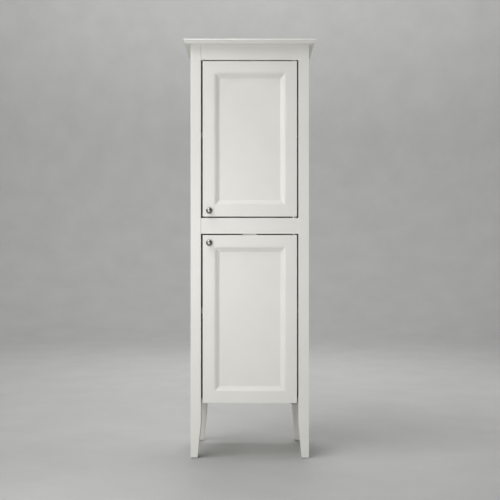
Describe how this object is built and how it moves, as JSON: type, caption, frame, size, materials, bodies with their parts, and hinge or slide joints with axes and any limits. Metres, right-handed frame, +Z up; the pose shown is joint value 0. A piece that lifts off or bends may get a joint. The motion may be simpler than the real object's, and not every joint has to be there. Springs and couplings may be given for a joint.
{
  "type": "tall two-door cabinet",
  "caption": "Tall, narrow painted timber cabinet with two framed doors, one above the other, on four tapered legs, with a moulded cornice and round metal knobs.",
  "frame": {"origin": "middle of the bounding box on the floor", "axes": "+Z up, the doors and the front face towards -Y, +X to the right as seen from the front"},
  "size_m": [0.49, 0.365, 1.554],
  "materials": {
    "paint": "sprayed satin off-white paint on timber",
    "paint_inside": "sprayed matt off-white paint on board",
    "knob_metal": "satin nickel plating",
    "steel": "bright zinc plating",
    "magnet": "sintered ferrite and plain steel pole plates",
    "nylon": "moulded natural nylon"
  },
  "bodies": {
    "cabinet": {"front_left_post": "paint", "front_right_post": "paint", "rear_left_post": "paint", "rear_right_post": "paint", "frieze_rail": "paint", "mid_rail": "paint", "rear_top_rail": "paint", "rear_mid_rail": "paint", "rear_bottom_rail": "paint", "left_top_rail": "paint", "left_mid_rail": "paint", "left_bottom_rail": "paint", "right_top_rail": "paint", "right_mid_rail": "paint", "right_bottom_rail": "paint", "left_upper_panel": "paint", "left_lower_panel": "paint", "right_upper_panel": "paint", "right_lower_panel": "paint", "upper_back_panel": "paint_inside", "lower_back_panel": "paint_inside", "divider_board": "paint_inside", "bottom_board": "paint_inside", "board_cleats": "paint_inside", "upper_shelf": "paint_inside", "lower_shelf": "paint_inside", "shelf_pins": "steel", "foot_glides": "nylon", "cornice_board": "paint", "cornice_front_moulding": "paint", "cornice_left_moulding": "paint", "cornice_right_moulding": "paint", "bottom_pivot_pins": "steel", "top_pivot_bushes": "nylon", "hinge_plate": "steel", "wood_screws": "steel", "catch_housings": "nylon", "catch_magnets": "magnet"},
    "upper_door": {"upper_door_left_stile": "paint", "upper_door_right_stile": "paint", "upper_door_top_rail": "paint", "upper_door_bottom_rail": "paint", "upper_door_panel": "paint", "upper_door_mouldings": "paint", "upper_door_top_pin": "steel", "upper_door_bush": "nylon", "upper_door_strike_plate": "steel", "upper_knob": "knob_metal", "upper_knob_screw": "steel"},
    "lower_door": {"lower_door_left_stile": "paint", "lower_door_right_stile": "paint", "lower_door_top_rail": "paint", "lower_door_bottom_rail": "paint", "lower_door_panel": "paint", "lower_door_mouldings": "paint", "lower_door_top_pin": "steel", "lower_door_bush": "nylon", "lower_door_strike_plate": "steel", "lower_knob": "knob_metal", "lower_knob_screw": "steel"}
  },
  "joints": [
    {"name": "upper_door_hinge", "type": "hinge", "parent": "cabinet", "child": "upper_door", "pos_m": [0.165, -0.1465, 0.898], "axis": [0, 0, 1], "range_deg": [0, 105]},
    {"name": "lower_door_hinge", "type": "hinge", "parent": "cabinet", "child": "lower_door", "pos_m": [0.165, -0.1465, 0.205], "axis": [0, 0, 1], "range_deg": [0, 105]}
  ]
}
